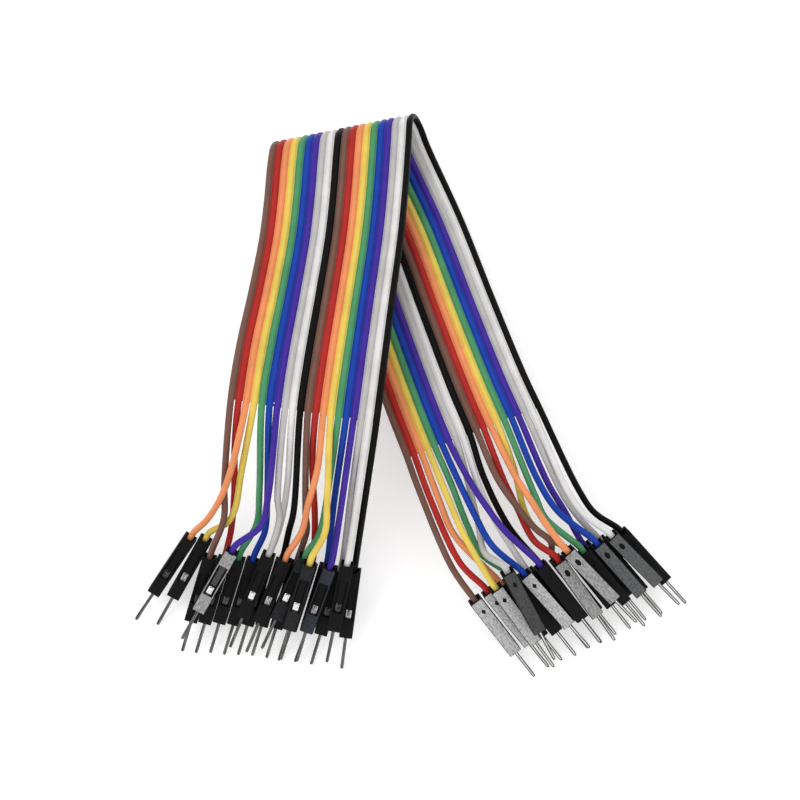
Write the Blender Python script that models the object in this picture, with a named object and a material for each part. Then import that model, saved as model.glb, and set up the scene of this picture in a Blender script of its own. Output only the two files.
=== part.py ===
"""Breadboard jumper wires: twenty bonded wires folded once, with a one-pin male plug on both ends of each."""

import math

import bmesh
import bpy
from mathutils import Matrix, Vector

MM = 0.001

# Wires
COLOURS = ("brown", "red", "orange", "yellow", "green", "blue", "purple", "gray", "white", "black")
WIRE_COUNT = 20
WIRE_DIAMETER = 1.25 * MM
WIRE_SIDE_COUNT = 8
LONGEST_STEP = 9.0 * MM
LARGEST_TURN = math.radians(13)

# Plug housing: x runs from the wire end to the pin, y across, and +z is the latch face
HOUSING_LENGTH = 14.0 * MM
HOUSING_WIDTH = 2.54 * MM
HOUSING_CHAMFER = 0.12 * MM
WIRE_POCKET_GAP = 0.325 * MM
WIRE_POCKET_WIDTH = WIRE_DIAMETER + 2 * WIRE_POCKET_GAP
WIRE_POCKET_DEPTH = 3.0 * MM
WIRE_END_GAP = 0.4 * MM
COLLAR_LENGTH = 3.2 * MM
TONGUE_WIDTH = 1.1 * MM
TONGUE_LENGTH = 4.8 * MM
SLOT_WIDTH = 0.3 * MM
WINDOW_LENGTH = 2.0 * MM
WINDOW_DEPTH = 0.6 * MM
MARK_CENTRE = 2.6 * MM
MARK_WIDTH = 0.9 * MM
MARK_DEPTH = 0.15 * MM

# Pin
PIN_WIDTH = 0.64 * MM
PIN_LENGTH = 7.3 * MM
PIN_TIP_LENGTH = 0.8 * MM
PIN_TIP_WIDTH = 0.3 * MM

# The two piles of plugs lean on their pin tips, in layers
LAYER_GAP = 0.31 * MM
LAYER = HOUSING_WIDTH + LAYER_GAP
LEAD_LENGTH = 1.2 * MM
TIP_HEIGHT = 0.15 * MM
NEAR_PILE = {"heading": -5, "slope": 27, "reach": 54.6 * MM}
FAR_PILE = {"heading": 25, "slope": 28, "reach": 61.3 * MM}
ORIGIN_SHIFT = Vector((-2.1424, 40.4736, -0.0121)) * MM

# One line for each plug of a pile, in wire order: the wire end's place across the pile in housing widths,
# how far its pin tip stops behind the line of the tips in mm, its turn in degrees, and its layer
NEAR_PLUGS = (
    (-13.07, 1.27, -13, 0),
    (-12.01, 1.17, -13, 0),
    (-14.78, 5.75, -29, -1),
    (-13.6, 5.2, -25, -0.92),
    (-10.91, 1.47, -13, 0),
    (-9.84, 1.37, -13, 0),
    (-11.26, 5.5, -25, 1),
    (-8.54, 4.62, -18, 1),
    (-8.76, 1.57, -13, 0),
    (-7.68, 1.67, -13, 0),
    (-6.57, 1.47, -13, 0),
    (-5.47, 1.37, -13, 0),
    (-7.28, 3.92, -18, 1),
    (-5.39, 4.27, -13, 2),
    (-5.85, 4.95, -20, 1),
    (-4.37, 1.34, -12, 0),
    (-3.98, 2.72, -15, 1),
    (-3.26, 0.94, -12, 0),
    (-2.72, 3.25, -7, 1),
    (-2.2, 0.6, -3, 0),
)
FAR_PLUGS = (
    (-1.65, 0.77, 13, 0),
    (-0.51, 1.29, 14, 0),
    (0.63, 1.39, 14, 0),
    (0.04, 2.54, 12, 1),
    (1.77, 0.99, 14, 0),
    (2.40, 2.98, 17, 1),
    (3.74, 2.99, 14, 1),
    (1.18, 5.72, 5, 2),
    (2.87, 1.29, 14, 0),
    (3.98, 1.09, 14, 0),
    (5.12, 1.32, 15, 0),
    (5.12, 2.04, 12, 1),
    (5.83, 5.39, 20, 2),
    (6.34, 1.12, 15, 0),
    (7.09, 2.05, 16, 1),
    (8.27, 2.32, 18, 1),
    (7.56, 1.35, 16, 0),
    (8.78, 1.08, 17, 0),
    (9.49, 3.03, 21, 1),
    (10.55, 0.85, 19, 0),
)

# The ribbon from the near split over the fold to the far split, in mm: each row gives the first wire's
# place and the last wire's
RIBBON_ROWS = (
    ((-30.0, -5.5, 32.0), (-4.3, -9.2, 27.5)),
    ((-29.1, 4.5, 29.2), (-3.0, 2.0, 24.8)),
    ((-27.6, 16.0, 24.7), (-1.5, 15.5, 20.3)),
    ((-26.3, 28.0, 19.8), (0.2, 30.0, 15.6)),
    ((-25.9, 37.0, 16.2), (1.2, 42.0, 12.0)),
    ((-25.7, 44.5, 13.8), (1.8, 52.0, 9.2)),
    ((-25.3, 49.3, 11.7), (2.1, 56.6, 7.7)),
    ((-24.4, 51.4, 7.3), (2.9, 58.5, 4.9)),
    ((-22.8, 49.7, 2.8), (4.2, 57.4, 2.1)),
    ((-20.7, 45.0, 0.75), (5.7, 53.8, 0.75)),
    ((-13.3, 29.0, 4.0), (12.3, 37.0, 4.0)),
    ((-7.3, 11.0, 9.3), (18.3, 18.6, 9.3)),
    ((-2.2, -4.2, 13.0), (23.7, 3.0, 13.2)),
    ((1.4, -13.5, 12.8), (26.6, -3.8, 13.8)),
)

# Places that single tails pass between the plugs and the splits, in mm and in the same order as the ribbon
NEAR_GUIDES = {
    1: ((-32.9, -25.3, 16.0), (-32.3, -19.0, 20.9)),
    2: ((-32.2, -27.4, 11.0), (-30.9, -21.0, 17.4), (-29.9, -12.4, 25.9)),
    3: ((-36.6, -25.4, 13.0), (-32.6, -21.4, 21.4), (-30.6, -17.2, 24.9), (-28.6, -11.5, 29.7)),
    4: ((-32.4, -25.8, 14.1), (-30.7, -23.4, 16.8), (-29.2, -18.0, 22.0)),
    5: ((-27.1, -26.4, 13.8), (-25.9, -20.4, 20.2)),
    6: ((-25.6, -27.6, 12.6), (-24.6, -21.6, 18.6)),
    7: ((-25.7, -26.8, 18.2), (-24.1, -22.0, 22.4), (-22.7, -13.8, 28.0)),
    8: ((-22.3, -25.4, 18.4), (-22.4, -21.8, 21.6)),
    9: ((-22.9, -27.0, 12.6), (-20.9, -20.0, 19.6)),
    10: ((-21.0, -27.6, 13.2), (-19.8, -24.0, 17.0)),
    11: ((-17.6, -27.5, 13.4), (-17.6, -24.0, 17.0)),
    12: ((-16.1, -28.5, 12.8), (-15.9, -24.0, 16.8), (-16.0, -15.7, 23.4)),
    13: ((-18.3, -28.0, 17.2), (-16.8, -23.2, 21.6), (-14.9, -17.2, 25.8)),
    14: ((-13.8, -28.3, 20.0), (-13.2, -22.2, 23.5)),
    15: ((-15.6, -29.2, 15.2), (-14.5, -26.7, 17.3), (-12.6, -17.0, 22.8)),
    16: ((-12.3, -22.8, 17.8),),
    18: ((-9.1, -21.7, 19.3),),
}
FAR_GUIDES = {
    1: ((3.2, -18.5, 12.3), (9.6, -33.8, 11.8)),
    2: ((5.6, -20.9, 12.4), (11.4, -33.4, 11.9)),
    3: ((7.4, -21.4, 12.4), (10.3, -28.1, 12.0)),
    4: ((9.2, -21.6, 13.9), (12.0, -28.3, 14.7)),
    5: ((9.8, -18.6, 12.7), (12.8, -26.4, 12.2), (15.6, -31.8, 11.4)),
    6: ((14.2, -24.8, 14.6), (17.3, -30.4, 15.2)),
    7: ((13.0, -17.8, 14.6), (16.3, -23.2, 15.6), (19.6, -27.6, 15.8)),
    8: ((12.5, -16.1, 12.0), (14.8, -26.0, 12.6), (15.8, -31.5, 14.6)),
    9: ((15.2, -19.4, 12.7), (18.2, -25.6, 12.2)),
    10: ((15.9, -17.1, 12.9), (20.8, -26.8, 12.0)),
    11: ((18.5, -17.7, 14.2), (22.0, -22.9, 14.4), (25.2, -26.8, 14.2), (28.4, -29.4, 13.0)),
    12: ((19.8, -17.8, 12.4), (22.0, -22.4, 12.2), (25.3, -29.2, 12.8)),
    13: ((21.8, -17.4, 15.4), (24.2, -21.6, 16.8), (26.9, -26.3, 18.0)),
    14: ((21.7, -15.4, 12.6), (23.9, -23.8, 11.0), (25.9, -27.0, 11.4)),
    15: ((25.6, -21.2, 14.4), (27.4, -25.2, 14.6)),
    16: ((26.0, -17.9, 14.6), (29.6, -23.8, 15.0)),
    17: ((28.1, -18.3, 12.8), (31.2, -23.5, 12.2)),
    18: ((30.7, -20.0, 12.8), (33.9, -24.7, 12.0)),
    19: ((31.6, -20.0, 14.6), (34.6, -24.4, 14.8)),
    20: ((34.0, -19.7, 12.8), (36.9, -23.8, 12.0)),
}

# Looks: colour and roughness
WIRE_COLOURS = {
    "brown": (0.18, 0.10, 0.075),
    "red": (0.52, 0.03, 0.025),
    "orange": (0.87, 0.30, 0.13),
    "yellow": (0.80, 0.65, 0.10),
    "green": (0.08, 0.35, 0.14),
    "blue": (0.02, 0.07, 0.52),
    "purple": (0.08, 0.035, 0.37),
    "gray": (0.55, 0.54, 0.53),
    "white": (0.80, 0.80, 0.79),
    "black": (0.01, 0.01, 0.011),
}
WIRE_ROUGHNESS = 0.45
PLUG_COLOUR = (0.012, 0.012, 0.013)
PLUG_ROUGHNESS = 0.5
PIN_COLOUR = (0.75, 0.73, 0.70)
PIN_ROUGHNESS = 0.28


def clear_scene():
    for obj in list(bpy.data.objects):
        bpy.data.objects.remove(obj)


def principled(name, colour, roughness, metallic=0.0):
    material = bpy.data.materials.new(name)
    material.use_nodes = True
    shader = material.node_tree.nodes["Principled BSDF"]
    shader.inputs["Base Color"].default_value = (*colour, 1)
    shader.inputs["Roughness"].default_value = roughness
    shader.inputs["Metallic"].default_value = metallic
    material.diffuse_color = (*colour, 1)
    return material


def add_object(name, data, materials=()):
    obj = bpy.data.objects.new(name, data)
    bpy.context.scene.collection.objects.link(obj)
    for material in materials:
        data.materials.append(material)
    return obj


def mesh_of(name, bm):
    bmesh.ops.recalc_face_normals(bm, faces=bm.faces)
    mesh = bpy.data.meshes.new(name)
    bm.to_mesh(mesh)
    bm.free()
    return mesh


def box(name, x_range, y_range, z_range):
    bm = bmesh.new()
    bmesh.ops.create_cube(bm, size=1)
    ranges = (x_range, y_range, z_range)
    for vert in bm.verts:
        vert.co = Vector(low if part < 0 else high for part, (low, high) in zip(vert.co, ranges))
    return mesh_of(name, bm)


def prism(name, outline, z_range):
    """A flat outline of (x, y) corners, from one height to another."""
    bm = bmesh.new()
    low, high = z_range
    face = bm.faces.new([bm.verts.new((x, y, low)) for x, y in outline])
    grown = bmesh.ops.extrude_face_region(bm, geom=[face])
    top = [item for item in grown["geom"] if isinstance(item, bmesh.types.BMVert)]
    bmesh.ops.translate(bm, verts=top, vec=(0, 0, high - low))
    return mesh_of(name, bm)


def housing_mesh():
    """The outer block, with its four long edges chamfered."""
    half = HOUSING_WIDTH / 2
    mesh = box("housing_block", (0, HOUSING_LENGTH), (-half, half), (-half, half))
    bm = bmesh.new()
    bm.from_mesh(mesh)
    long_edges = [edge for edge in bm.edges if abs(edge.verts[0].co.x - edge.verts[1].co.x) > half]
    bmesh.ops.bevel(bm, geom=long_edges, offset=HOUSING_CHAMFER, segments=1, affect="EDGES")
    return mesh_of("housing_block", bm)


def pin_mesh():
    """A square pin that starts inside the nose and ends in a tapered tip."""
    half = PIN_WIDTH / 2
    start = HOUSING_LENGTH - PIN_WIDTH
    shoulder = HOUSING_LENGTH + PIN_LENGTH - PIN_TIP_LENGTH
    mesh = box("pin", (start, shoulder), (-half, half), (-half, half))
    bm = bmesh.new()
    bm.from_mesh(mesh)
    end = max(bm.faces, key=lambda face: face.calc_center_median().x)
    tip = bmesh.ops.extrude_face_region(bm, geom=[end])
    verts = [item for item in tip["geom"] if isinstance(item, bmesh.types.BMVert)]
    bmesh.ops.delete(bm, geom=[end], context="FACES_ONLY")
    narrow = PIN_TIP_WIDTH / PIN_WIDTH
    for vert in verts:
        vert.co = Vector((shoulder + PIN_TIP_LENGTH, vert.co.y * narrow, vert.co.z * narrow))
    return mesh_of("pin", bm)


def latch_outline():
    """The window, with a slot down each side of the latch tongue, as one U-shaped outline."""
    inner = TONGUE_WIDTH / 2
    outer = inner + SLOT_WIDTH
    tongue_end = COLLAR_LENGTH + TONGUE_LENGTH
    window_end = tongue_end + WINDOW_LENGTH
    return (
        (COLLAR_LENGTH, -outer),
        (window_end, -outer),
        (window_end, outer),
        (COLLAR_LENGTH, outer),
        (COLLAR_LENGTH, inner),
        (tongue_end, inner),
        (tongue_end, -inner),
        (COLLAR_LENGTH, -inner),
    )


def mark_outline():
    """The small diamond moulded into the plain face."""
    half = MARK_WIDTH / 2
    return (
        (MARK_CENTRE - half, 0),
        (MARK_CENTRE, -half),
        (MARK_CENTRE + half, 0),
        (MARK_CENTRE, half),
    )


def plug_mesh(materials):
    """The whole plug, joined and cut by Booleans on a hidden helper."""
    half = HOUSING_WIDTH / 2
    pocket = WIRE_POCKET_WIDTH / 2
    plug = add_object("plug_helper", housing_mesh(), materials[:1])
    steps = (
        ("UNION", pin_mesh(), materials[1:]),
        (
            "DIFFERENCE",
            box("wire_pocket", (-MM, WIRE_POCKET_DEPTH), (-pocket, pocket), (-pocket, pocket)),
            materials[:1],
        ),
        ("DIFFERENCE", prism("latch_cut", latch_outline(), (half - WINDOW_DEPTH, half + MM)), materials[:1]),
        ("DIFFERENCE", prism("mark_cut", mark_outline(), (-half - MM, -half + MARK_DEPTH)), materials[:1]),
    )
    tools = []
    for operation, mesh, tool_materials in steps:
        tool = add_object(mesh.name + "_helper", mesh, tool_materials)
        modifier = plug.modifiers.new(mesh.name, "BOOLEAN")
        modifier.operation = operation
        modifier.object = tool
        tools.append(tool)
    graph = bpy.context.evaluated_depsgraph_get()
    mesh = bpy.data.meshes.new_from_object(plug.evaluated_get(graph))
    mesh.name = "plug"
    for tool in [plug, *tools]:
        bpy.data.objects.remove(tool)
    return mesh


def pile_matrix(pile):
    """The sloping plane that a pile's plugs lie in: x runs down to the pin tips, y across and z off it."""
    heading = math.radians(pile["heading"])
    slope = math.radians(pile["slope"])
    ahead = Vector((math.sin(heading), -math.cos(heading), 0))
    across = Vector((math.cos(heading), math.sin(heading), 0))
    down = ahead * math.cos(slope) - Vector((0, 0, math.sin(slope)))
    off = across.cross(down) * -1
    start = ahead * pile["reach"] + Vector((0, 0, TIP_HEIGHT)) + ORIGIN_SHIFT
    return Matrix.Translation(start) @ Matrix((down, across, off)).transposed().to_4x4()


def plug_matrix(pile, place, latch_up):
    """Where a plug lies: its origin is the middle of its wire end, and +x is its pin's direction."""
    across, behind, turn, layer = place
    turn = math.radians(turn)
    reach = (HOUSING_LENGTH + PIN_LENGTH) * math.cos(turn)
    start = Vector((-behind * MM - reach, across * HOUSING_WIDTH, layer * LAYER))
    roll = Matrix.Identity(4) if latch_up else Matrix.Rotation(math.pi, 4, "X")
    flip = Matrix.Rotation(turn, 4, "Z")
    return pile_matrix(pile) @ Matrix.Translation(start) @ flip @ roll


def wire_colour(number):
    return COLOURS[(number - 1) % len(COLOURS)]


def plug_run(matrix):
    """Three places of a wire in line with its plug: inside the pocket, at the mouth, and just outside."""
    inside = WIRE_POCKET_DEPTH - WIRE_END_GAP
    return [matrix @ Vector((x, 0, 0)) for x in (inside, 0, -LEAD_LENGTH)]


def route(number, near_matrix, far_matrix):
    """All the places that a wire passes, from inside its near plug to inside its far plug."""
    share = (number - 1) / (WIRE_COUNT - 1)
    ribbon = [
        (Vector(first).lerp(Vector(last), share)) * MM + ORIGIN_SHIFT for first, last in RIBBON_ROWS
    ]
    near = [Vector(place) * MM + ORIGIN_SHIFT for place in NEAR_GUIDES.get(number, ())]
    far = [Vector(place) * MM + ORIGIN_SHIFT for place in FAR_GUIDES.get(number, ())]
    return plug_run(near_matrix) + near + ribbon + far + plug_run(far_matrix)[::-1]


def smooth_point(a, b, c, d, share):
    """A point between b and c on the centripetal Catmull-Rom curve through a, b, c and d."""
    knots = [0.0]
    for start, end in ((a, b), (b, c), (c, d)):
        knots.append(knots[-1] + math.sqrt((end - start).length))
    t0, t1, t2, t3 = knots
    t = t1 + share * (t2 - t1)
    ab = a.lerp(b, (t - t0) / (t1 - t0))
    bc = b.lerp(c, (t - t1) / (t2 - t1))
    cd = c.lerp(d, (t - t2) / (t3 - t2))
    left = ab.lerp(bc, (t - t0) / (t2 - t0))
    right = bc.lerp(cd, (t - t1) / (t3 - t1))
    return left.lerp(right, (t - t1) / (t2 - t1))


def smooth_path(places, samples=16):
    """A fine smooth line through all the places."""
    first = places[0] * 2 - places[1]
    last = places[-1] * 2 - places[-2]
    padded = [first, *places, last]
    fine = []
    for index in range(1, len(padded) - 2):
        run = padded[index - 1 : index + 3]
        fine += [smooth_point(*run, step / samples) for step in range(samples)]
    return [*fine, places[-1]]


def thinned(fine):
    """Fewer points where the line runs straight, and more where it bends."""
    kept = [fine[0]]
    turned = 0.0
    for before, here, after in zip(fine, fine[1:], fine[2:]):
        turned += (here - before).angle(after - here, 0)
        if turned > LARGEST_TURN or (here - kept[-1]).length > LONGEST_STEP:
            kept.append(here)
            turned = 0.0
    if (kept[-1] - fine[-1]).length < WIRE_DIAMETER:
        kept.pop()
    return [*kept, fine[-1]]


def add_wire(number, near_matrix, far_matrix, materials):
    colour = wire_colour(number)
    points = thinned(smooth_path(route(number, near_matrix, far_matrix)))
    curve = bpy.data.curves.new(f"wire_{number:02d}_{colour}", "CURVE")
    curve.dimensions = "3D"
    curve.bevel_depth = WIRE_DIAMETER / 2
    curve.bevel_resolution = round(WIRE_SIDE_COUNT / 4)
    curve.use_fill_caps = True
    spline = curve.splines.new("POLY")
    spline.points.add(len(points) - 1)
    for point, place in zip(spline.points, points):
        point.co = (*place, 1)
    return add_object(curve.name, curve, [materials[colour]])


def main():
    clear_scene()
    wire_materials = {
        colour: principled(f"{colour}_wire", value, WIRE_ROUGHNESS) for colour, value in WIRE_COLOURS.items()
    }
    plug_materials = [
        principled("plug_plastic", PLUG_COLOUR, PLUG_ROUGHNESS),
        principled("pin_metal", PIN_COLOUR, PIN_ROUGHNESS, 1.0),
    ]
    plug = plug_mesh(plug_materials)
    for index in range(WIRE_COUNT):
        number = index + 1
        label = f"{number:02d}_{wire_colour(number)}"
        near_matrix = plug_matrix(NEAR_PILE, NEAR_PLUGS[index], True)
        far_matrix = plug_matrix(FAR_PILE, FAR_PLUGS[index], False)
        add_object(f"near_plug_{label}", plug).matrix_world = near_matrix
        add_object(f"far_plug_{label}", plug).matrix_world = far_matrix
        add_wire(number, near_matrix, far_matrix, wire_materials)


main()
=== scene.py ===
"""Looks of the breadboard jumper wires: PVC wires, moulded housings, folded metal pins and a white floor."""

import math

import bmesh
import bpy
from mathutils import Matrix, Vector


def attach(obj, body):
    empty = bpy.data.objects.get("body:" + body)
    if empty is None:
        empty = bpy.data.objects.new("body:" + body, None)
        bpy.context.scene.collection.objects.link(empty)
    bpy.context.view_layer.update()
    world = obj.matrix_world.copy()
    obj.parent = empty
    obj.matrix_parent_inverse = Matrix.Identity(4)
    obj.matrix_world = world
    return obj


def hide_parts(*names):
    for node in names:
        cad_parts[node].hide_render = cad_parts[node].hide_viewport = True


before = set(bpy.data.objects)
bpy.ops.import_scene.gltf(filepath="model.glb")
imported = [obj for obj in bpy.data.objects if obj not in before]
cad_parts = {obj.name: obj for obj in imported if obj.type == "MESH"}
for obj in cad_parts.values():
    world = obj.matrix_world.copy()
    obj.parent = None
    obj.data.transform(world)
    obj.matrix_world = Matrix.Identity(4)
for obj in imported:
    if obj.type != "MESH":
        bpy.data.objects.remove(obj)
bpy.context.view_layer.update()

MM = 0.001

# Wires
COLOURS = ("brown", "red", "orange", "yellow", "green", "blue", "purple", "gray", "white", "black")
WIRE_COUNT = 20
WIRE_DIAMETER = 1.25 * MM
BOND_THICKNESS = 0.45 * MM
WIRE_SIDES_LEVEL = 4

# Steps of the smooth line between two places of a route, and how many places plug_run gives at each end
WIRE_SAMPLES = 10
PLUG_RUN_PLACES = 3

# Plug housing: x runs from the wire end to the pin, y across, and +z is the latch face
HOUSING_LENGTH = 14.0 * MM
HOUSING_WIDTH = 2.54 * MM
HOUSING_ROUNDING = 0.12 * MM
EDGE_ROUNDING = 0.035 * MM
WIRE_POCKET_GAP = 0.325 * MM
WIRE_POCKET_WIDTH = WIRE_DIAMETER + 2 * WIRE_POCKET_GAP
WIRE_POCKET_DEPTH = 3.0 * MM
WIRE_END_GAP = 0.4 * MM
COLLAR_LENGTH = 3.2 * MM
COLLAR_NOTCH_LENGTH = 0.3 * MM
COLLAR_NOTCH_WIDTH = 1.1 * MM
COLLAR_NOTCH_DEPTH = 0.45 * MM
RECESS_WIDTH = 1.9 * MM
RECESS_DEPTH = 0.24 * MM
TONGUE_WIDTH = 1.1 * MM
TONGUE_LENGTH = 4.8 * MM
TONGUE_END = COLLAR_LENGTH + TONGUE_LENGTH
CATCH_LENGTH = 0.7 * MM
CATCH_HEIGHT = 0.14 * MM
CATCH_ROOT = 0.1 * MM
SLOT_WIDTH = 0.3 * MM
WINDOW_LENGTH = 2.0 * MM
WINDOW_END = TONGUE_END + WINDOW_LENGTH
WINDOW_WIDTH = 1.5 * MM
WINDOW_DEPTH = 0.6 * MM
MARK_CENTRE = 2.6 * MM
MARK_DEPTH = 0.15 * MM
MARK_LENGTH = 1.3 * MM
MARK_WIDTH = 0.9 * MM
OVAL_STRETCH = 1.25
NOSE_RECESS_DEPTH = 0.25 * MM
NOSE_RECESS_WIDTH = 1.1 * MM
SHARP_ANGLE = math.radians(35)

# Pin and terminal
PIN_WIDTH = 0.64 * MM
PIN_LENGTH = 7.3 * MM
PIN_TIP_LENGTH = 0.8 * MM
PIN_TIP_WIDTH = 0.3 * MM
PIN_TIP_NOTCH = 0.28 * MM
PIN_TIP_STEPS = 5
PIN_TIP_EDGE_RINGS = 4

# Half of the pin's section, from the seam on the latch side round to the smooth back: each row gives a corner
# as shares of half the pin's width, and the metal of the facet that follows it. The darkest metals paint
# shade along the seam, the corners and the sides, and the lightest one paints a highlight along the back
PIN_HALF_SECTION = (
    (0.04, 0.50, "shade_line"),
    (0.16, 0.94, "pin"),
    (0.34, 1.00, "pin"),
    (0.70, 0.90, "shade_line"),
    (0.93, 0.55, "edge"),
    (1.00, 0.00, "edge"),
    (0.93, -0.50, "shade_line"),
    (0.74, -0.84, "pin"),
    (0.50, -0.96, "shade_line"),
    (0.30, -0.99, "shine"),
    (0.15, -1.00, "shine"),
)
PIN_METALS = ("pin", "shade_line", "window", "edge", "shine")
TERMINAL_WIDTH = 1.4 * MM
TERMINAL_TOP = 0.74 * MM
TERMINAL_START = 7.2 * MM
TERMINAL_END = 12.2 * MM
TERMINAL_SHOULDER = (0.72, 0.62)
LANCE_START = 8.3 * MM
LANCE_END = 9.6 * MM
LANCE_WIDTH = 0.7 * MM
LANCE_RISE = 0.26 * MM

# The two piles of plugs lean on their pin tips, in layers
LAYER_GAP = 0.31 * MM
LAYER = HOUSING_WIDTH + LAYER_GAP
LEAD_LENGTH = 1.2 * MM
TIP_HEIGHT = 0.15 * MM
NEAR_PILE = {"heading": -5, "slope": 27, "reach": 54.6 * MM}
FAR_PILE = {"heading": 25, "slope": 28, "reach": 61.3 * MM}
ORIGIN_SHIFT = Vector((-2.1424, 40.4736, -0.0121)) * MM

# One line for each plug of a pile, in wire order: the wire end's place across the pile in housing widths,
# how far its pin tip stops behind the line of the tips in mm, its turn in degrees, and its layer
NEAR_PLUGS = (
    (-13.07, 1.27, -13, 0),
    (-12.01, 1.17, -13, 0),
    (-14.78, 5.75, -29, -1),
    (-13.6, 5.2, -25, -0.92),
    (-10.91, 1.47, -13, 0),
    (-9.84, 1.37, -13, 0),
    (-11.26, 5.5, -25, 1),
    (-8.54, 4.62, -18, 1),
    (-8.76, 1.57, -13, 0),
    (-7.68, 1.67, -13, 0),
    (-6.57, 1.47, -13, 0),
    (-5.47, 1.37, -13, 0),
    (-7.28, 3.92, -18, 1),
    (-5.39, 4.27, -13, 2),
    (-5.85, 4.95, -20, 1),
    (-4.37, 1.34, -12, 0),
    (-3.98, 2.72, -15, 1),
    (-3.26, 0.94, -12, 0),
    (-2.72, 3.25, -7, 1),
    (-2.2, 0.6, -3, 0),
)
FAR_PLUGS = (
    (-1.65, 0.77, 13, 0),
    (-0.51, 1.29, 14, 0),
    (0.63, 1.39, 14, 0),
    (0.04, 2.54, 12, 1),
    (1.77, 0.99, 14, 0),
    (2.40, 2.98, 17, 1),
    (3.74, 2.99, 14, 1),
    (1.18, 5.72, 5, 2),
    (2.87, 1.29, 14, 0),
    (3.98, 1.09, 14, 0),
    (5.12, 1.32, 15, 0),
    (5.12, 2.04, 12, 1),
    (5.83, 5.39, 20, 2),
    (6.34, 1.12, 15, 0),
    (7.09, 2.05, 16, 1),
    (8.27, 2.32, 18, 1),
    (7.56, 1.35, 16, 0),
    (8.78, 1.08, 17, 0),
    (9.49, 3.03, 21, 1),
    (10.55, 0.85, 19, 0),
)

# The ribbon from the near split over the fold to the far split, in mm: each row gives the first wire's
# place and the last wire's
RIBBON_ROWS = (
    ((-30.0, -5.5, 32.0), (-4.3, -9.2, 27.5)),
    ((-29.1, 4.5, 29.2), (-3.0, 2.0, 24.8)),
    ((-27.6, 16.0, 24.7), (-1.5, 15.5, 20.3)),
    ((-26.3, 28.0, 19.8), (0.2, 30.0, 15.6)),
    ((-25.9, 37.0, 16.2), (1.2, 42.0, 12.0)),
    ((-25.7, 44.5, 13.8), (1.8, 52.0, 9.2)),
    ((-25.3, 49.3, 11.7), (2.1, 56.6, 7.7)),
    ((-24.4, 51.4, 7.3), (2.9, 58.5, 4.9)),
    ((-22.8, 49.7, 2.8), (4.2, 57.4, 2.1)),
    ((-20.7, 45.0, 0.75), (5.7, 53.8, 0.75)),
    ((-13.3, 29.0, 4.0), (12.3, 37.0, 4.0)),
    ((-7.3, 11.0, 9.3), (18.3, 18.6, 9.3)),
    ((-2.2, -4.2, 13.0), (23.7, 3.0, 13.2)),
    ((1.4, -13.5, 12.8), (26.6, -3.8, 13.8)),
)

# Places that single tails pass between the plugs and the splits, in mm and in the same order as the ribbon
NEAR_GUIDES = {
    1: ((-32.9, -25.3, 16.0), (-32.3, -19.0, 20.9)),
    2: ((-32.2, -27.4, 11.0), (-30.9, -21.0, 17.4), (-29.9, -12.4, 25.9)),
    3: ((-36.6, -25.4, 13.0), (-32.6, -21.4, 21.4), (-30.6, -17.2, 24.9), (-28.6, -11.5, 29.7)),
    4: ((-32.4, -25.8, 14.1), (-30.7, -23.4, 16.8), (-29.2, -18.0, 22.0)),
    5: ((-27.1, -26.4, 13.8), (-25.9, -20.4, 20.2)),
    6: ((-25.6, -27.6, 12.6), (-24.6, -21.6, 18.6)),
    7: ((-25.7, -26.8, 18.2), (-24.1, -22.0, 22.4), (-22.7, -13.8, 28.0)),
    8: ((-22.3, -25.4, 18.4), (-22.4, -21.8, 21.6)),
    9: ((-22.9, -27.0, 12.6), (-20.9, -20.0, 19.6)),
    10: ((-21.0, -27.6, 13.2), (-19.8, -24.0, 17.0)),
    11: ((-17.6, -27.5, 13.4), (-17.6, -24.0, 17.0)),
    12: ((-16.1, -28.5, 12.8), (-15.9, -24.0, 16.8), (-16.0, -15.7, 23.4)),
    13: ((-18.3, -28.0, 17.2), (-16.8, -23.2, 21.6), (-14.9, -17.2, 25.8)),
    14: ((-13.8, -28.3, 20.0), (-13.2, -22.2, 23.5)),
    15: ((-15.6, -29.2, 15.2), (-14.5, -26.7, 17.3), (-12.6, -17.0, 22.8)),
    16: ((-12.3, -22.8, 17.8),),
    18: ((-9.1, -21.7, 19.3),),
}
FAR_GUIDES = {
    1: ((3.2, -18.5, 12.3), (9.6, -33.8, 11.8)),
    2: ((5.6, -20.9, 12.4), (11.4, -33.4, 11.9)),
    3: ((7.4, -21.4, 12.4), (10.3, -28.1, 12.0)),
    4: ((9.2, -21.6, 13.9), (12.0, -28.3, 14.7)),
    5: ((9.8, -18.6, 12.7), (12.8, -26.4, 12.2), (15.6, -31.8, 11.4)),
    6: ((14.2, -24.8, 14.6), (17.3, -30.4, 15.2)),
    7: ((13.0, -17.8, 14.6), (16.3, -23.2, 15.6), (19.6, -27.6, 15.8)),
    8: ((12.5, -16.1, 12.0), (14.8, -26.0, 12.6), (15.8, -31.5, 14.6)),
    9: ((15.2, -19.4, 12.7), (18.2, -25.6, 12.2)),
    10: ((15.9, -17.1, 12.9), (20.8, -26.8, 12.0)),
    11: ((18.5, -17.7, 14.2), (22.0, -22.9, 14.4), (25.2, -26.8, 14.2), (28.4, -29.4, 13.0)),
    12: ((19.8, -17.8, 12.4), (22.0, -22.4, 12.2), (25.3, -29.2, 12.8)),
    13: ((21.8, -17.4, 15.4), (24.2, -21.6, 16.8), (26.9, -26.3, 18.0)),
    14: ((21.7, -15.4, 12.6), (23.9, -23.8, 11.0), (25.9, -27.0, 11.4)),
    15: ((25.6, -21.2, 14.4), (27.4, -25.2, 14.6)),
    16: ((26.0, -17.9, 14.6), (29.6, -23.8, 15.0)),
    17: ((28.1, -18.3, 12.8), (31.2, -23.5, 12.2)),
    18: ((30.7, -20.0, 12.8), (33.9, -24.7, 12.0)),
    19: ((31.6, -20.0, 14.6), (34.6, -24.4, 14.8)),
    20: ((34.0, -19.7, 12.8), (36.9, -23.8, 12.0)),
}

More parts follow.
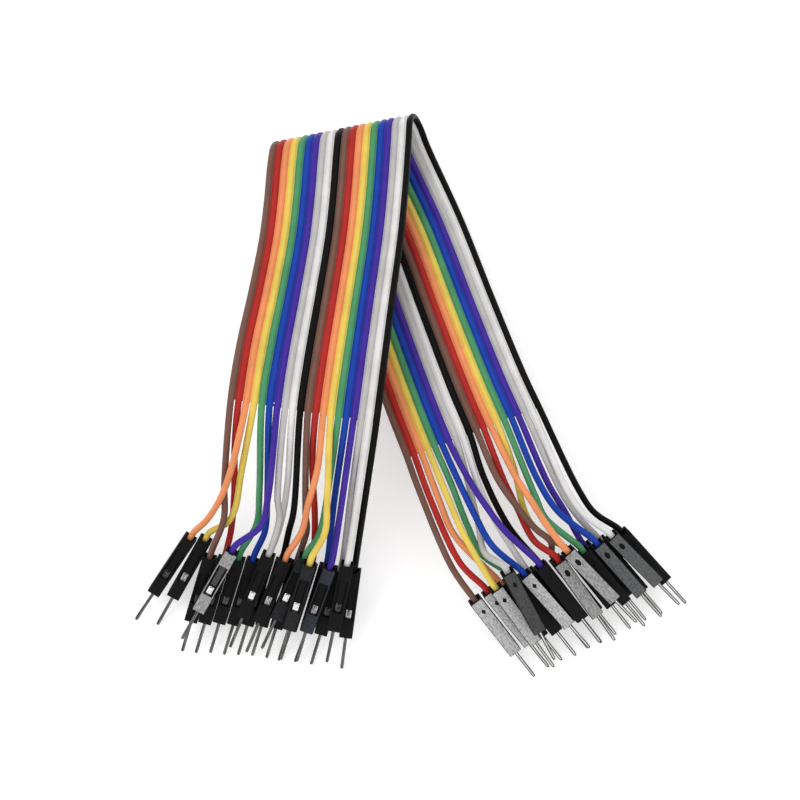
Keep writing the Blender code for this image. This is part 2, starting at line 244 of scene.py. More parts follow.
# Torn bits at the splits: the wire before the split, and how far up the ribbon from its end row (0 to 1)
NEAR_NICKS = ((1, 0.7), (6, 0.05), (10, 0.75), (12, 0.0), (16, 0.0))
FAR_NICKS = ((4, 0.0), (5, 0.0), (8, 0.0), (11, 0.0), (14, 0.0), (15, 0.0))
NICK_LENGTH = 0.5 * MM
NICK_WIDTH = 0.27 * MM
NICK_CURL = math.radians(80)
NICK_STEPS = 6
NICK_HEIGHT_ON_WIRE = 0.32

# How much painted sheen lightens the face that looks up on each housing, a painted stand-in for the lamps'
# glare off it: plain black where a wire isn't listed
NEAR_FACES = {7: "pale_sheen", 14: "dim", 15: "dim", 17: "sheen"}
FAR_FACES = {
    1: "light",
    2: "light",
    4: "light",
    6: "light",
    8: "dark",
    12: "pale_sheen",
    13: "pale_sheen",
    16: "mid",
    19: "mid",
}

# Wires whose housings have an oval mark, a diamond that wear has rounded off
OVAL_MARKS = (12, 13, 15, 16, 19)

# How much painted reflection lights the metal in the window on each near housing, its colour standing in for
# the light it catches: dim where a wire isn't listed
NEAR_WINDOWS = {
    4: "patchy_glint",
    7: "bright",
    8: "bright",
    13: "patchy_glint",
    14: "bright",
    15: "bright",
    17: "patchy_glint",
    20: "patchy_glint",
}

# Colours, linear
WIRE_COLOURS = {
    "brown": (0.195, 0.098, 0.074),
    "red": (0.46, 0.030, 0.025),
    "orange": (0.88, 0.315, 0.13),
    "yellow": (0.84, 0.63, 0.12),
    "green": (0.085, 0.32, 0.145),
    "blue": (0.014, 0.058, 0.40),
    "purple": (0.062, 0.031, 0.335),
    "gray": (0.54, 0.53, 0.52),
    "white": (0.80, 0.79, 0.78),
    "black": (0.003, 0.003, 0.003),
}
# Darkest and lightest colour of each level of a housing's faces: every level lighter than black is painted
# sheen, lighter where more glare is painted on
FACE_COLOURS = {
    "black": ((0.002, 0.002, 0.0025), (0.006, 0.006, 0.0065)),
    "dim": ((0.008, 0.008, 0.009), (0.024, 0.025, 0.027)),
    "sheen": ((0.020, 0.023, 0.030), (0.045, 0.050, 0.062)),
    "dark": ((0.035, 0.036, 0.038), (0.085, 0.086, 0.088)),
    "mid": ((0.055, 0.057, 0.060), (0.15, 0.152, 0.155)),
    "pale_sheen": ((0.15, 0.15, 0.155), (0.46, 0.455, 0.45)),
    "light": ((0.26, 0.26, 0.265), (0.66, 0.655, 0.65)),
}

# Metals of the pin and the window: material name, darkest and lightest colour, roughness, features per mm
METALS = {
    "pin": ("pin_metal", (0.07, 0.069, 0.066), (0.26, 0.255, 0.245), 0.3, 1.2),
    # Dark metals of painted shade on the pin's seam, corners, sides and tip, and a light metal of painted
    # highlight on its back
    "shade_line": ("pin_groove", (0.012, 0.012, 0.012), (0.05, 0.05, 0.048), 0.45, 1.2),
    "edge": ("pin_edge", (0.02, 0.02, 0.019), (0.08, 0.078, 0.074), 0.35, 1.2),
    "shine": ("pin_back", (0.55, 0.54, 0.52), (0.85, 0.84, 0.82), 0.25, 1.2),
    # Metal in the window: dark, mottled with painted glints, or bright with a painted reflection
    "dim": ("window_metal_dim", (0.008, 0.008, 0.008), (0.16, 0.158, 0.155), 0.4, 3.0),
    "patchy_glint": ("window_metal", (0.04, 0.04, 0.04), (0.85, 0.84, 0.82), 0.4, 3.0),
    "bright": ("window_metal_bright", (0.82, 0.82, 0.81), (1.0, 1.0, 0.99), 0.22, 3.0),
}

# Camera, floor and light
CAMERA_LENS = 58.5
CAMERA_ELEVATION = math.radians(80)
CAMERA_DISTANCE = 263 * MM
FLOOR_SIZE = 6.0
FLOOR_COLOUR = (0.86, 0.86, 0.86, 1)
FLOOR_GLOW = 0.42
WORLD_LIGHT = 0.84
KEY_LIGHT = {"place": (-0.30, 0.26, 0.62), "size": 0.40, "watts": 1.0}
FRONT_LIGHT = {"place": (0.10, -0.55, 0.42), "size": 0.30, "watts": 0.25}


def aim(obj, place, target):
    obj.location = place
    obj.rotation_euler = (Vector(target) - Vector(place)).to_track_quat("-Z", "Y").to_euler()


def link(obj):
    bpy.context.scene.collection.objects.link(obj)
    return obj


def make_camera():
    data = bpy.data.cameras.new("camera")
    data.lens = CAMERA_LENS
    data.clip_start = 0.01
    camera = link(bpy.data.objects.new("camera", data))
    back = Vector((0, -math.cos(CAMERA_ELEVATION), math.sin(CAMERA_ELEVATION)))
    camera.location = ORIGIN_SHIFT + back * CAMERA_DISTANCE
    camera.rotation_euler = (math.pi / 2 - CAMERA_ELEVATION, 0, 0)
    bpy.context.scene.camera = camera


# Materials
class Nodes:
    """A new material's Principled shader, with short calls that feed its sockets."""

    def __init__(self, name, colour=(0.5, 0.5, 0.5), roughness=0.5, metallic=0.0, specular=0.5):
        self.material = bpy.data.materials.new(name)
        self.material.use_nodes = True
        self.tree = self.material.node_tree
        self.shader = self.tree.nodes["Principled BSDF"]
        self.shader.inputs["Base Color"].default_value = (*colour, 1)
        self.shader.inputs["Roughness"].default_value = roughness
        self.shader.inputs["Metallic"].default_value = metallic
        self.shader.inputs["Specular IOR Level"].default_value = specular

    def add(self, kind, **settings):
        node = self.tree.nodes.new(kind)
        for name, value in settings.items():
            setattr(node, name, value)
        return node

    def join(self, output, target):
        self.tree.links.new(output, target)

    def place(self, stretch=(1, 1, 1), attribute=""):
        """Where the pattern is read, in mm: the mesh's own grain coordinates, or the object's own space."""
        if attribute:
            source = self.add("ShaderNodeAttribute", attribute_name=attribute).outputs["Vector"]
            scale = stretch
        else:
            source = self.add("ShaderNodeTexCoord").outputs["Object"]
            scale = [part / MM for part in stretch]
        mapping = self.add("ShaderNodeMapping")
        mapping.inputs["Scale"].default_value = scale
        self.join(source, mapping.inputs["Vector"])
        return mapping.outputs["Vector"]

    def noise(self, place, scale, detail=3.0, roughness=0.55):
        """Cloudy noise, with scale as features per mm."""
        noise = self.add("ShaderNodeTexNoise")
        noise.inputs["Scale"].default_value = scale
        noise.inputs["Detail"].default_value = detail
        noise.inputs["Roughness"].default_value = roughness
        self.join(place, noise.inputs["Vector"])
        return noise.outputs["Fac"]

    def colours(self, value, low, high, start=0.35, end=0.65):
        ramp = self.add("ShaderNodeValToRGB")
        first, last = ramp.color_ramp.elements
        first.position, last.position = start, end
        first.color, last.color = (*low, 1), (*high, 1)
        self.join(value, ramp.inputs["Fac"])
        self.join(ramp.outputs["Color"], self.shader.inputs["Base Color"])

    def roughness(self, value, low, high):
        spread = self.add("ShaderNodeMapRange")
        spread.inputs["From Min"].default_value = 0.3
        spread.inputs["From Max"].default_value = 0.7
        spread.inputs["To Min"].default_value = low
        spread.inputs["To Max"].default_value = high
        self.join(value, spread.inputs["Value"])
        self.join(spread.outputs["Result"], self.shader.inputs["Roughness"])

    def bump(self, value, height, strength=0.5):
        bump = self.add("ShaderNodeBump")
        bump.inputs["Strength"].default_value = strength
        bump.inputs["Distance"].default_value = height
        self.join(value, bump.inputs["Height"])
        self.join(bump.outputs["Normal"], self.shader.inputs["Normal"])


def wire_material(colour):
    """Soft PVC: faint blotches of shade, handling marks in its gloss, and a slightly uneven skin."""
    base = Vector(WIRE_COLOURS[colour])
    nodes = Nodes(f"{colour}_pvc", base, specular=0.08)
    place = nodes.place()
    shade = nodes.noise(place, 0.22, 4)
    nodes.colours(shade, base * 0.9, base * 1.08, 0.3, 0.7)
    nodes.roughness(nodes.noise(place, 0.6, 4), 0.30, 0.46)
    nodes.bump(nodes.noise(place, 1.6, 2), 0.03 * MM, 0.35)
    return nodes.material


def face_material(sheen_level):
    """Moulded black plastic, mottled with scuff marks that run along the housing; its upper face is painted
    lighter, a painted sheen that stands in for light glancing off it.
    """
    low, high = FACE_COLOURS[sheen_level]
    nodes = Nodes(f"plug_plastic_{sheen_level}", high, specular=0.1)
    scuffs_and_sheen = nodes.noise(nodes.place((0.55, 1.3, 1.3), "grain"), 3.0, 8, 0.72)
    fine = nodes.noise(nodes.place((1.0, 2.4, 2.4), "grain"), 4.5, 5, 0.6)
    nodes.colours(scuffs_and_sheen, low, high, 0.36, 0.6)
    nodes.roughness(fine, 0.38, 0.62)
    nodes.bump(fine, 0.02 * MM, 0.4)
    return nodes.material


def metal_material(name, low, high, roughness, scale):
    """Tinned metal with drawn streaks along the pin."""
    nodes = Nodes(name, high, metallic=1.0)
    streaks = nodes.noise(nodes.place((0.25, 3, 3), "grain"), scale, 4)
    nodes.colours(streaks, low, high)
    nodes.roughness(streaks, roughness * 0.75, roughness * 1.25)
    nodes.bump(streaks, 0.01 * MM, 0.3)
    return nodes.material


def nick_material():
    nodes = Nodes("torn_pvc", (0.8, 0.78, 0.72), specular=0.3)
    place = nodes.place()
    nodes.colours(nodes.noise(place, 2.5, 3), (0.62, 0.60, 0.55), (0.9, 0.88, 0.84))
    nodes.roughness(nodes.noise(place, 4, 2), 0.45, 0.7)
    return nodes.material


# Routes
def pile_matrix(pile):
    """The sloping plane that a pile's plugs lie in: x runs down to the pin tips, y across and z off it."""
    heading = math.radians(pile["heading"])
    slope = math.radians(pile["slope"])
    ahead = Vector((math.sin(heading), -math.cos(heading), 0))
    across = Vector((math.cos(heading), math.sin(heading), 0))
    down = ahead * math.cos(slope) - Vector((0, 0, math.sin(slope)))
    off = across.cross(down) * -1
    start = ahead * pile["reach"] + Vector((0, 0, TIP_HEIGHT)) + ORIGIN_SHIFT
    return Matrix.Translation(start) @ Matrix((down, across, off)).transposed().to_4x4()


def plug_matrix(pile, place, latch_up):
    """Where a plug lies: its origin is the middle of its wire end, and +x is its pin's direction."""
    across, behind, turn, layer = place
    turn = math.radians(turn)
    reach = (HOUSING_LENGTH + PIN_LENGTH) * math.cos(turn)
    start = Vector((-behind * MM - reach, across * HOUSING_WIDTH, layer * LAYER))
    roll = Matrix.Identity(4) if latch_up else Matrix.Rotation(math.pi, 4, "X")
    flip = Matrix.Rotation(turn, 4, "Z")
    return pile_matrix(pile) @ Matrix.Translation(start) @ flip @ roll


def wire_colour(number):
    return COLOURS[(number - 1) % len(COLOURS)]


def ribbon_place(row, number):
    """Where the middle of a wire lies in one row of the ribbon; number may fall between two wires."""
    first, last = RIBBON_ROWS[row]
    return Vector(first).lerp(Vector(last), (number - 1) / (WIRE_COUNT - 1)) * MM + ORIGIN_SHIFT


def plug_run(matrix):
    """Three places of a wire in line with its plug: inside the pocket, at the mouth, and just outside."""
    inside = WIRE_POCKET_DEPTH - WIRE_END_GAP
    return [matrix @ Vector((x, 0, 0)) for x in (inside, 0, -LEAD_LENGTH)]


def route(number, near_matrix, far_matrix):
    """All the places that a wire passes, from inside its near plug to inside its far plug."""
    ribbon = [ribbon_place(row, number) for row in range(len(RIBBON_ROWS))]
    near = [Vector(place) * MM + ORIGIN_SHIFT for place in NEAR_GUIDES.get(number, ())]
    far = [Vector(place) * MM + ORIGIN_SHIFT for place in FAR_GUIDES.get(number, ())]
    return plug_run(near_matrix) + near + ribbon + far + plug_run(far_matrix)[::-1]


def smooth_point(a, b, c, d, share):
    """A point between b and c on the centripetal Catmull-Rom curve through a, b, c and d."""
    knots = [0.0]
    for start, end in ((a, b), (b, c), (c, d)):
        knots.append(knots[-1] + math.sqrt((end - start).length))
    t0, t1, t2, t3 = knots
    t = t1 + share * (t2 - t1)
    ab = a.lerp(b, (t - t0) / (t1 - t0))
    bc = b.lerp(c, (t - t1) / (t2 - t1))
    cd = c.lerp(d, (t - t2) / (t3 - t2))
    left = ab.lerp(bc, (t - t0) / (t2 - t0))
    right = bc.lerp(cd, (t - t1) / (t3 - t1))
    return left.lerp(right, (t - t1) / (t2 - t1))


def smooth_path(places):
    """A fine smooth line through all the places."""
    first = places[0] * 2 - places[1]
    last = places[-1] * 2 - places[-2]
    padded = [first, *places, last]
    fine = []
    for index in range(1, len(padded) - 2):
        run = padded[index - 1 : index + 3]
        fine += [smooth_point(*run, step / WIRE_SAMPLES) for step in range(WIRE_SAMPLES)]
    return [*fine, places[-1]]


# Wires
def close_tube(bm, rings):
    """Joins rings of vertices into a closed tube with two flat ends."""
    count = len(rings[0])
    for below, above in zip(rings, rings[1:]):
        for corner in range(count):
            other = (corner + 1) % count
            bm.faces.new((below[corner], below[other], above[other], above[corner]))
    bm.faces.new(rings[0][::-1])
    bm.faces.new(rings[-1])
    bmesh.ops.recalc_face_normals(bm, faces=bm.faces)


def ribbon_stretch(number, points):
    """The fine points of a wire that lie in the ribbon, between its guides."""
    start = (PLUG_RUN_PLACES + len(NEAR_GUIDES.get(number, ()))) * WIRE_SAMPLES
    return points[start : start + (len(RIBBON_ROWS) - 1) * WIRE_SAMPLES + 1]


def make_bond(number, paths, material):
    """The thin flange of insulation that joins a wire to its neighbours, out to halfway between them."""
    own = ribbon_stretch(number, paths[number])
    left = ribbon_stretch(number - 1, paths[number - 1]) if number > 1 else own
    right = ribbon_stretch(number + 1, paths[number + 1]) if number < WIRE_COUNT else own
    bm = bmesh.new()
    rings = []
    for index, middle in enumerate(own):
        low = middle.lerp(left[index], 0.5)
        high = middle.lerp(right[index], 0.5)
        along = own[min(index + 1, len(own) - 1)] - own[max(index - 1, 0)]
        up = (high - low).cross(along).normalized() * BOND_THICKNESS / 2
        rings.append([bm.verts.new(place) for place in (low - up, high - up, high + up, low + up)])
    close_tube(bm, rings)
    name = f"ribbon_bond_{number:02d}_{wire_colour(number)}"
    mesh = bpy.data.meshes.new(name)
    bm.to_mesh(mesh)
    bm.free()
    mesh.shade_smooth()
    mesh.set_sharp_from_angle(angle=SHARP_ANGLE)
    mesh.materials.append(material)
    bond = link(bpy.data.objects.new(name, mesh))
    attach(bond, "root")
    return bond


def make_wire(number, paths, near_matrix, materials):
    colour = wire_colour(number)
    points = paths[number]
    curve = bpy.data.curves.new(f"jumper_wire_{number:02d}_{colour}", "CURVE")
    curve.dimensions = "3D"
    curve.bevel_depth = WIRE_DIAMETER / 2
    curve.bevel_resolution = WIRE_SIDES_LEVEL
    curve.use_fill_caps = True
    spline = curve.splines.new("POLY")
    spline.points.add(len(points) - 1)
    for point, place in zip(spline.points, points):
        point.co = (*place, 1)
    spline.use_smooth = True
    curve.materials.append(materials[colour])
    wire = link(bpy.data.objects.new(curve.name, curve))
    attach(wire, "root")
    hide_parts(f"wire_{number:02d}_{colour}")
    make_bond(number, paths, materials[colour])


def make_nick(name, middle, along, up, material):
    """A curled shred of insulation that stands up where two wires were torn apart."""
    across = along.cross(up).normalized()
    bm = bmesh.new()
    rings = []
    for step in range(NICK_STEPS + 1):
        share = step / NICK_STEPS
        bend = share * NICK_CURL
        forward = along * NICK_LENGTH * (math.sin(bend) - 0.3)
        spine = middle + forward + up * NICK_LENGTH * 0.45 * (1 - math.cos(bend))
        wide = NICK_WIDTH * (0.5 - 0.36 * share * share) * (1 + 0.25 * math.sin(5 * share))
        thick = NICK_WIDTH * (0.3 - 0.22 * share)
        corners = ((-wide, 0), (0, thick), (wide, 0), (0, -thick))
        rings.append([bm.verts.new(spine + across * y + up * z) for y, z in corners])
    close_tube(bm, rings)
    mesh = bpy.data.meshes.new(name)
    bm.to_mesh(mesh)
    bm.free()
    mesh.shade_smooth()
    mesh.materials.append(material)
    nick = link(bpy.data.objects.new(name, mesh))
    rounding = nick.modifiers.new("rounding", "SUBSURF")
    rounding.levels = rounding.render_levels = 2
    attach(nick, "root")


def make_nicks():
    material = nick_material()
    last = len(RIBBON_ROWS) - 1
    for label, nicks, row, inner in (("near", NEAR_NICKS, 0, 1), ("far", FAR_NICKS, last, last - 1)):
        for number, share in nicks:
            middle = ribbon_place(row, number + 0.5).lerp(ribbon_place(inner, number + 0.5), share)
            along = (ribbon_place(row, number) - ribbon_place(inner, number)).normalized()
            side = (ribbon_place(row, number + 1) - ribbon_place(row, number)).normalized()
            up = side.cross(along)
            up = up if up.z > 0 else -up
            surface = middle + up * WIRE_DIAMETER * NICK_HEIGHT_ON_WIRE
            make_nick(f"{label}_torn_bit_{number:02d}", surface, along, up, material)


# Housings
def centred(width):
    """The range of this width with 0 in its middle."""
    return -width / 2, width / 2


def box(x_range, y_range, z_range):
    bm = bmesh.new()
    bmesh.ops.create_cube(bm, size=1)
    ranges = (x_range, y_range, z_range)
    for vert in bm.verts:
        vert.co = Vector(low if part < 0 else high for part, (low, high) in zip(vert.co, ranges))
    return bm


def prism(outline, z_range):
    bm = bmesh.new()
    low, high = z_range
    face = bm.faces.new([bm.verts.new((x, y, low)) for x, y in outline])
    grown = bmesh.ops.extrude_face_region(bm, geom=[face])
    top = [item for item in grown["geom"] if isinstance(item, bmesh.types.BMVert)]
    bmesh.ops.translate(bm, verts=top, vec=(0, 0, high - low))
    return bm


def helper(name, bm, rounding=0.0, segments=2):
    """A short-lived object for a Boolean, with its edges rounded first where a rounding is given."""
    if rounding:
        bmesh.ops.bevel(bm, geom=bm.edges, offset=rounding, segments=segments, affect="EDGES", profile=0.5)
    bmesh.ops.recalc_face_normals(bm, faces=bm.faces)
    mesh = bpy.data.meshes.new(name)
    bm.to_mesh(mesh)
    bm.free()
    return link(bpy.data.objects.new(name, mesh))


def mark_outline(oval):
    """The mark moulded into the plain face: a diamond, or one that wear has rounded into an oval."""
    count = 16 if oval else 4
    length = MARK_LENGTH * (OVAL_STRETCH if oval else 1) / 2
    width = MARK_WIDTH / 2
    turns = [math.tau * step / count for step in range(count)]
    return [(MARK_CENTRE + length * math.cos(turn), width * math.sin(turn)) for turn in turns]


def housing_cutters(oval):
    """Everything cut out of the block, as (name, shape)."""
    half = HOUSING_WIDTH / 2
    slot_near = TONGUE_WIDTH / 2
    slot_far = slot_near + SLOT_WIDTH
    slot_run = (COLLAR_LENGTH + SLOT_WIDTH, TONGUE_END + SLOT_WIDTH)
    above = half + MM
    pocket = centred(WIRE_POCKET_WIDTH)
    yield "wire_pocket", box((-MM, WIRE_POCKET_DEPTH), pocket, pocket)
    notch = centred(COLLAR_NOTCH_WIDTH)
    yield "collar_notch", box((-MM, COLLAR_NOTCH_LENGTH), notch, (half - COLLAR_NOTCH_DEPTH, above))
    yield "recess", box((COLLAR_LENGTH, WINDOW_END), centred(RECESS_WIDTH), (half - RECESS_DEPTH, above))
    for side, sideways in (("left", (-slot_far, -slot_near)), ("right", (slot_near, slot_far))):
        yield f"{side}_slot", box(slot_run, sideways, (half - WINDOW_DEPTH, above))
    yield "window", box((TONGUE_END, WINDOW_END), centred(WINDOW_WIDTH), (half - WINDOW_DEPTH, above))
    nose = centred(NOSE_RECESS_WIDTH)
    yield "nose_recess", box((HOUSING_LENGTH - NOSE_RECESS_DEPTH, HOUSING_LENGTH + MM), nose, nose)
    yield "mark", prism(mark_outline(oval), (-half - MM, -half + MARK_DEPTH))


def housing_slot(centre, normal):
    """The material slot of a facet: 1 the latch face, 2 the plain face, 3 the tongue's top and 0 the rest."""
    half = HOUSING_WIDTH / 2
    if abs(normal.z) < 0.98:
        return 0
    if abs(centre.z) > half - EDGE_ROUNDING:
        return 1 if centre.z > 0 else 2
    on_tongue = abs(centre.y) < TONGUE_WIDTH / 2 and COLLAR_LENGTH < centre.x < TONGUE_END
    return 3 if on_tongue and centre.z > half - RECESS_DEPTH * 1.5 else 0


def housing_mesh(oval):
    """The moulded housing, with the faces that may carry painted sheen in slots of their own."""
    half = HOUSING_WIDTH / 2
    block = helper("block", box((0, HOUSING_LENGTH), (-half, half), (-half, half)), HOUSING_ROUNDING)
    helpers = [block]
    for name, bm in housing_cutters(oval):
        cutter = helper(name, bm)
        helpers.append(cutter)
        cut = block.modifiers.new(name, "BOOLEAN")
        cut.operation = "DIFFERENCE"
        cut.object = cutter
    floor = half - RECESS_DEPTH
    root = floor - CATCH_ROOT
    outline = [(TONGUE_END - CATCH_LENGTH, root), (TONGUE_END, root), (TONGUE_END, floor + CATCH_HEIGHT)]
    catch = prism(outline, centred(TONGUE_WIDTH))
    bmesh.ops.rotate(catch, verts=catch.verts, cent=(0, 0, 0), matrix=Matrix.Rotation(math.pi / 2, 3, "X"))
    helpers.append(helper("catch", catch))
    join = block.modifiers.new("catch", "BOOLEAN")
    join.operation = "UNION"
    join.object = helpers[-1]
    rounding = block.modifiers.new("rounding", "BEVEL")
    rounding.width = EDGE_ROUNDING
    rounding.segments = 2
    rounding.limit_method = "ANGLE"
    rounding.angle_limit = math.radians(50)
    graph = bpy.context.evaluated_depsgraph_get()
    mesh = bpy.data.meshes.new_from_object(block.evaluated_get(graph))
    for obj in helpers:
        bpy.data.objects.remove(obj)
    mesh.name = "housing"
    mesh.shade_smooth()
    mesh.set_sharp_from_angle(angle=SHARP_ANGLE)
    for polygon in mesh.polygons:
        polygon.material_index = housing_slot(polygon.center, polygon.normal)
    return mesh


# Pins
def pin_rings():
    """(place along the pin, size of the section, depth of the notch between the lobes) up to the tip."""
    start = HOUSING_LENGTH - NOSE_RECESS_DEPTH * 2
    shoulder = HOUSING_LENGTH + PIN_LENGTH - PIN_TIP_LENGTH
    yield start, 1.0, 0.0
    yield shoulder - PIN_TIP_LENGTH, 1.0, 0.0
    tip = PIN_TIP_WIDTH / PIN_WIDTH
    for step in range(PIN_TIP_STEPS + 1):
        turn = math.pi / 2 * step / PIN_TIP_STEPS
        size = tip + (1 - tip) * math.cos(turn)
        yield shoulder + PIN_TIP_LENGTH * math.sin(turn), size, PIN_TIP_NOTCH * step / PIN_TIP_STEPS


def add_pin(bm):
    """The pin as one folded strip: a seam on its latch side, a smooth back, and two lobes at its tip."""
    half = PIN_WIDTH / 2
    right = [(y * half, z * half) for y, z, metal in PIN_HALF_SECTION]
    section = right + [(-y, z) for y, z in reversed(right)]
    slots = [PIN_METALS.index(metal) for y, z, metal in PIN_HALF_SECTION]
    slots += slots[-2::-1] + [PIN_METALS.index("shade_line")]
    rings = []
    for x, size, notch in pin_rings():
        corners = [(x - notch * (1 - abs(y) / half), y * size, z * size) for y, z in section]
        rings.append([bm.verts.new(corner) for corner in corners])
    count = len(section)
    for index, (below, above) in enumerate(zip(rings, rings[1:])):
        for corner in range(count):
            other = (corner + 1) % count
            face = bm.faces.new((below[corner], below[other], above[other], above[corner]))
            # The last rings of the tip take the dark edge metal, painted shade on the ends of the lobes, and
            # the tip's end face takes painted shade as well
            plain = index < len(rings) - PIN_TIP_EDGE_RINGS
            face.material_index = slots[corner] if plain else PIN_METALS.index("edge")
            face.smooth = True
    bm.faces.new(rings[0])
    tip = bm.faces.new(rings[-1][::-1])
    tip.material_index = PIN_METALS.index("shade_line")


def add_terminal(bm):
    """The crimped body that shows through the window, with the lance that the tongue holds."""
    half = TERMINAL_WIDTH / 2
    depth = TERMINAL_TOP
    wide_share, high_share = TERMINAL_SHOULDER
    section = [(-half, -depth), (half, -depth), (half, depth * high_share), (half * wide_share, depth)]
    section += [(-half * wide_share, depth), (-half, depth * high_share)]
    ends = [[bm.verts.new((x, y, z)) for y, z in section] for x in (TERMINAL_START, TERMINAL_END)]
    faces = [bm.faces.new(ends[0]), bm.faces.new(ends[1][::-1])]
    for corner in range(len(section)):
        other = (corner + 1) % len(section)
        faces.append(bm.faces.new((ends[0][corner], ends[0][other], ends[1][other], ends[1][corner])))
    low, high = LANCE_START, LANCE_END
    left, right = centred(LANCE_WIDTH)
    foot_places = ((low, left), (high, left), (high, right), (low, right))
    foot = [bm.verts.new((x, y, depth - 0.02 * MM)) for x, y in foot_places]
    peak_places = (
        (low + 0.1 * MM, -LANCE_WIDTH * 0.38, 0.75),
        (high - 0.4 * MM, -LANCE_WIDTH * 0.3, 0.1),
        (high - 0.5 * MM, LANCE_WIDTH * 0.34, 0.2),
        (low, LANCE_WIDTH * 0.4, 1.0),
    )
    peak = [bm.verts.new((x, y, depth + LANCE_RISE * lift)) for x, y, lift in peak_places]
    faces.append(bm.faces.new(foot[::-1]))
    faces.append(bm.faces.new(peak))
    for corner in range(4):
        other = (corner + 1) % 4
        faces.append(bm.faces.new((foot[corner], foot[other], peak[other], peak[corner])))
    for face in faces:
        face.material_index = PIN_METALS.index("window")


def pin_mesh():
    bm = bmesh.new()
    add_pin(bm)
    add_terminal(bm)
    bmesh.ops.recalc_face_normals(bm, faces=bm.faces)
    mesh = bpy.data.meshes.new("pin")
    bm.to_mesh(mesh)
    bm.free()
    mesh.set_sharp_from_angle(angle=math.radians(50))
    return mesh


def add_copy(name, mesh, matrix, materials, number):
    """A copy of a mesh that rides with the set, with its own stretch of grain."""
    mesh = mesh.copy()
    mesh.name = name
    grain = mesh.attributes.new("grain", "FLOAT_VECTOR", "POINT")
    for vertex, value in zip(mesh.vertices, grain.data):
        value.vector = vertex.co / MM + Vector((31.0, 7.3, 11.9)) * number
    for material in materials:
        mesh.materials.append(material)
    obj = link(bpy.data.objects.new(name, mesh))
    obj.matrix_world = matrix
    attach(obj, "root")
    return obj


def make_plug(pile_name, number, matrix, meshes, faces, metals):
    label = f"{number:02d}_{wire_colour(number)}"
    near = pile_name == "near"
    sheen_level = (NEAR_FACES if near else FAR_FACES).get(number, "black")
    black = faces["black"]
    # The face that looks up takes the painted sheen: the latch face on the near pile, the plain face on the
    # far pile. On a near housing with the pale painted sheen, the tongue's top is painted dark grey as well,
    # painted sheen in its window.
    tongue = faces["dark" if near and sheen_level == "pale_sheen" else "black"]
    sides = [black, faces[sheen_level], black, tongue] if near else [black, black, faces[sheen_level], black]
    offset = number if near else number + WIRE_COUNT
    mesh = meshes["oval" if number in OVAL_MARKS else "diamond"]
    housing = add_copy(f"{pile_name}_housing_{label}", mesh, matrix, sides, offset)
    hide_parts(f"{pile_name}_plug_{label}")
    # The window metal's painted reflection is picked per near plug, and the far pile's is dim
    window = NEAR_WINDOWS.get(number, "dim") if near else "dim"
    pin_metals = [metals[window if name == "window" else name] for name in PIN_METALS]
    add_copy(f"{pile_name}_pin_{label}", meshes["pin"], matrix, pin_metals, offset)


# Floor and light
def white_ray(tree):
    """1 for rays that see the background straight or in a reflection, and 0 for the others."""
    rays = tree.nodes.new("ShaderNodeLightPath")
    total = rays.outputs["Is Camera Ray"]
    for name in ("Is Glossy Ray", "Is Transmission Ray"):
        most = tree.nodes.new("ShaderNodeMath")
        most.operation = "MAXIMUM"
        tree.links.new(total, most.inputs[0])
        tree.links.new(rays.outputs[name], most.inputs[1])
        total = most.outputs[0]
    return total


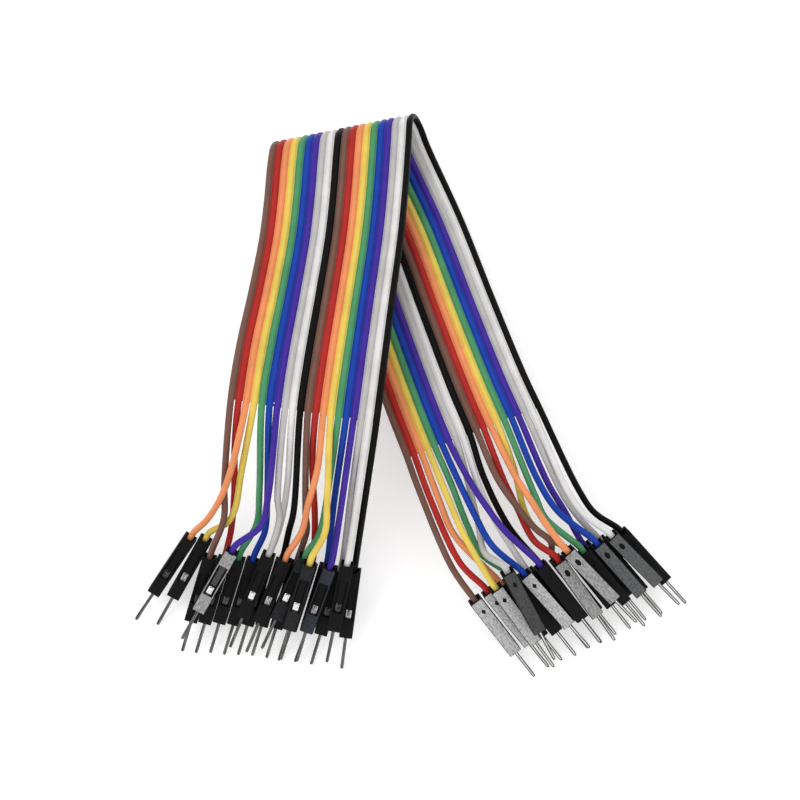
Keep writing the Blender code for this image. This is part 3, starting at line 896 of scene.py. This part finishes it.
def make_floor():
    bm = bmesh.new()
    bmesh.ops.create_grid(bm, x_segments=1, y_segments=1, size=FLOOR_SIZE / 2)
    mesh = bpy.data.meshes.new("floor")
    bm.to_mesh(mesh)
    bm.free()
    material = bpy.data.materials.new("white_floor")
    material.use_nodes = True
    tree = material.node_tree
    tree.nodes.clear()
    matt = tree.nodes.new("ShaderNodeBsdfDiffuse")
    matt.inputs["Color"].default_value = FLOOR_COLOUR
    glow = tree.nodes.new("ShaderNodeEmission")
    scale = tree.nodes.new("ShaderNodeMath")
    scale.operation = "MULTIPLY"
    scale.inputs[1].default_value = FLOOR_GLOW
    tree.links.new(white_ray(tree), scale.inputs[0])
    tree.links.new(scale.outputs[0], glow.inputs["Strength"])
    both = tree.nodes.new("ShaderNodeAddShader")
    tree.links.new(matt.outputs[0], both.inputs[0])
    tree.links.new(glow.outputs[0], both.inputs[1])
    output = tree.nodes.new("ShaderNodeOutputMaterial")
    tree.links.new(both.outputs[0], output.inputs["Surface"])
    mesh.materials.append(material)
    link(bpy.data.objects.new("floor", mesh))


def make_world():
    world = bpy.data.worlds.new("studio")
    bpy.context.scene.world = world
    world.use_nodes = True
    tree = world.node_tree
    background = tree.nodes["Background"]
    background.inputs["Color"].default_value = (1, 1, 1, 1)
    strength = tree.nodes.new("ShaderNodeMapRange")
    strength.inputs["To Min"].default_value = WORLD_LIGHT
    strength.inputs["To Max"].default_value = 1.0
    tree.links.new(white_ray(tree), strength.inputs["Value"])
    tree.links.new(strength.outputs["Result"], background.inputs["Strength"])


def make_lamp(name, lamp):
    data = bpy.data.lights.new(name, "AREA")
    data.shape = "DISK"
    data.size = lamp["size"]
    data.energy = lamp["watts"]
    aim(link(bpy.data.objects.new(name, data)), lamp["place"], (0, 0, 0))


def main():
    bpy.context.scene.view_settings.view_transform = "Standard"
    make_camera()
    wires = {colour: wire_material(colour) for colour in COLOURS}
    near_matrices = [plug_matrix(NEAR_PILE, place, True) for place in NEAR_PLUGS]
    far_matrices = [plug_matrix(FAR_PILE, place, False) for place in FAR_PLUGS]
    places = dict(enumerate(zip(near_matrices, far_matrices), 1))
    paths = {number: smooth_path(route(number, *ends)) for number, ends in places.items()}
    for number, (near_matrix, _) in places.items():
        make_wire(number, paths, near_matrix, wires)
    make_nicks()
    faces = {sheen_level: face_material(sheen_level) for sheen_level in FACE_COLOURS}
    metals = {name: metal_material(*look) for name, look in METALS.items()}
    meshes = {"diamond": housing_mesh(False), "oval": housing_mesh(True), "pin": pin_mesh()}
    for number, (near_matrix, far_matrix) in places.items():
        make_plug("near", number, near_matrix, meshes, faces, metals)
        make_plug("far", number, far_matrix, meshes, faces, metals)
    make_floor()
    make_world()
    make_lamp("key_light", KEY_LIGHT)
    make_lamp("front_light", FRONT_LIGHT)


main()
